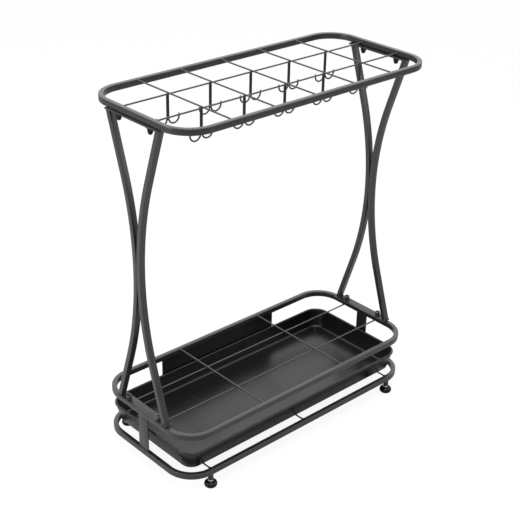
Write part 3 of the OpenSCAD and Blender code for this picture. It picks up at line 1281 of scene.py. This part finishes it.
@dataclass
class UmbrellaStand:
    """The whole stand, as its sub-assemblies in the order they are built."""

    top_pitch: float = 78 * MM
    long_wire_y: float = 37 * MM
    basket_wire_x: float = 86 * MM
    rest_wire_x: float = 195.5 * MM

    def parts(self) -> list[SubAssembly]:
        """Lists the sub-assemblies from the top ring down to the tray.

        Returns:
            The sub-assemblies, in the order they are built.
        """
        top_cross = tuple(self.top_pitch * i for i in range(-2, 3))
        long = (-self.long_wire_y, self.long_wire_y)
        cross = (-self.basket_wire_x, self.basket_wire_x)
        rest = (-self.rest_wire_x, 0.0, self.rest_wire_x)
        sides: list[SubAssembly] = []
        for side in Side:
            sides += (BowedLeg(side, row) for row in Row)
            sides += (FlatBar(f"{end}_plate_{side}") for end in ("top", "bottom"))
        return [
            TubeRing("top_ring"),
            WireGrid("top_cross_wires", Axis.Y, top_cross, seed=5),
            WireGrid("top_long_wires", Axis.X, long, seed=6),
            *(DoubleHook(f"hook_{row}_{i}") for row in ("back", "front") for i in range(1, 6)),
            *sides,
            LegWelds(),
            DomedNuts(),
            SocketScrews(),
            TubeRing("basket_ring"),
            WireGrid("basket_cross_wires", Axis.Y, cross, seed=7),
            WireGrid("basket_long_wires", Axis.X, long, seed=8),
            *(FlatBar(f"strap_{side}", COAT) for side in Side),
            FlatBar("back_panel", SHADED_PANEL_COAT),
            TubeRing("base_ring"),
            WireGrid("tray_rest_wires", Axis.Y, rest, seed=9),
            RoundFeet(),
            DripTray(),
        ]


# ---- studio


@dataclass
class Studio:
    """Pale floor, soft light and the camera."""

    floor_colour: str = "#f0f0f0"
    floor_half: float = 9.0
    floor_lift: float = 0.85
    floor_glow: float = 1.06
    mirrored: tuple[float, float] = (0.5, 2.3)
    mirrored_rise: float = 0.42
    world_strength: float = 0.6
    lamp_aim: tuple[float, float, float] = (0.0, 0.0, 0.3)
    azimuth: float = -42.74
    elevation: float = 27.48
    roll: float = 1.27
    target: tuple[float, float, float] = (0.00809, 0.01672, 0.2708)
    distance: float = 1.8266
    lens: float = 79.3
    sensor: float = 36.0
    view_depth: float = 50.0

    def floor(self) -> None:
        """Lays a wide pale floor that stays white to the camera and keeps shadows.

        To the camera, the matt paint is mixed with a white glow by floor_lift.
        """
        mesh = bpy.data.meshes.new("floor")
        half = self.floor_half
        corner = [(-half, -half, 0), (half, -half, 0), (half, half, 0), (-half, half, 0)]
        mesh.from_pydata(corner, [], [(0, 1, 2, 3)])
        paint = bpy.data.materials.new("matt_white_floor_paint")
        tree = empty_tree(paint)
        matt = add_node(tree, "BsdfDiffuse", {"Color": linear(self.floor_colour)})
        glow = add_node(tree, "Emission", {"Strength": self.floor_glow})
        seen = add_node(tree, "LightPath").outputs["Is Camera Ray"]
        share = add_node(tree, "Math", {0: seen, 1: self.floor_lift}, operation="MULTIPLY")
        blend = add_node(tree, "MixShader", {0: share, 1: matt, 2: glow})
        add_node(tree, "OutputMaterial", {"Surface": blend})
        mesh.materials.append(paint)
        new_object("floor", mesh)

    def light(self) -> None:
        """Sets the white surroundings, a softbox overhead and one at each side.

        In mirrored rays the surroundings grow from the first strength to the second
        with the rise of the ray, as a ceiling is brighter than the walls.
        """
        world = bpy.data.worlds.new("white_surroundings")
        bpy.context.scene.world = world
        tree = empty_tree(world)
        path = add_node(tree, "LightPath")
        camera, glossy = (path.outputs[f"Is {ray} Ray"] for ray in ("Camera", "Glossy"))
        plain = add_node(tree, "MapRange", {"Value": camera, "To Min": self.world_strength})
        way = add_node(tree, "TexCoord").outputs["Generated"]
        rise = add_node(tree, "SeparateXYZ", {"Vector": way}).outputs["Z"]
        ends = dict(zip(RANGE_ENDS, (0.0, self.mirrored_rise, *self.mirrored)))
        mirrored = add_node(tree, "MapRange", {"Value": rise, **ends})
        strength = add_node(tree, "Mix", {"Factor": glossy, "A": plain, "B": mirrored})
        back = add_node(tree, "Background", {"Color": linear("#ffffff"), "Strength": strength})
        add_node(tree, "OutputWorld", {"Surface": back})
        self.lamp("overhead_softbox", (-0.5, -0.9, 2.6), 0.9, 26.0)
        self.lamp("left_softbox", (-1.5, 0.35, 0.75), 0.8, 14.0)
        self.lamp("right_softbox", (1.0, -1.3, 0.8), 0.8, 3.0)

    def lamp(
        self, title: str, place: tuple[float, float, float], size: float, power: float
    ) -> None:
        """Hangs one square softbox, turned to the middle of the stand.

        Args:
            title: the lamp's name.
            place: where it hangs.
            size: length of its side.
            power: its power in watts.
        """
        data = bpy.data.lights.new(title, "AREA")
        data.size, data.energy = size, power
        made = new_object(title, data)
        made.location = place
        aim = Vector(self.lamp_aim) - made.location
        made.rotation_euler = aim.to_track_quat("-Z", "Y").to_euler()

    def camera(self) -> None:
        """Stands the camera at its azimuth, elevation, distance and slight roll.

        It looks along (-sin a cos e, cos a cos e, -sin e).
        """
        a, e, roll = (math.radians(v) for v in (self.azimuth, self.elevation, self.roll))
        look = Vector((-math.sin(a) * math.cos(e), math.cos(a) * math.cos(e), -math.sin(e)))
        data = bpy.data.cameras.new("camera")
        data.lens, data.sensor_width, data.clip_end = self.lens, self.sensor, self.view_depth
        made = new_object("camera", data)
        spot = Matrix.Translation(Vector(self.target) - look * self.distance)
        turn = look.to_track_quat("-Z", "Y").to_matrix().to_4x4()
        made.matrix_world = spot @ turn @ Matrix.Rotation(roll, 4, "Z")
        bpy.context.scene.camera = made

    def build(self) -> None:
        """Sets up the floor, the light, the camera and the plain view."""
        self.floor()
        self.light()
        self.camera()
        bpy.context.scene.view_settings.view_transform = "Standard"


def main() -> None:
    """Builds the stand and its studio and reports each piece."""
    logging.basicConfig(level=logging.INFO, format="%(name)s: %(message)s")
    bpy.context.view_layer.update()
    pieces = [piece for part in UmbrellaStand().parts() for piece in part.build()]
    for piece in pieces:
        LOG.info("%s: %d faces", piece.name, len(piece.data.polygons))
    Studio().build()
    bpy.context.view_layer.update()


if __name__ == "__main__":
    main()
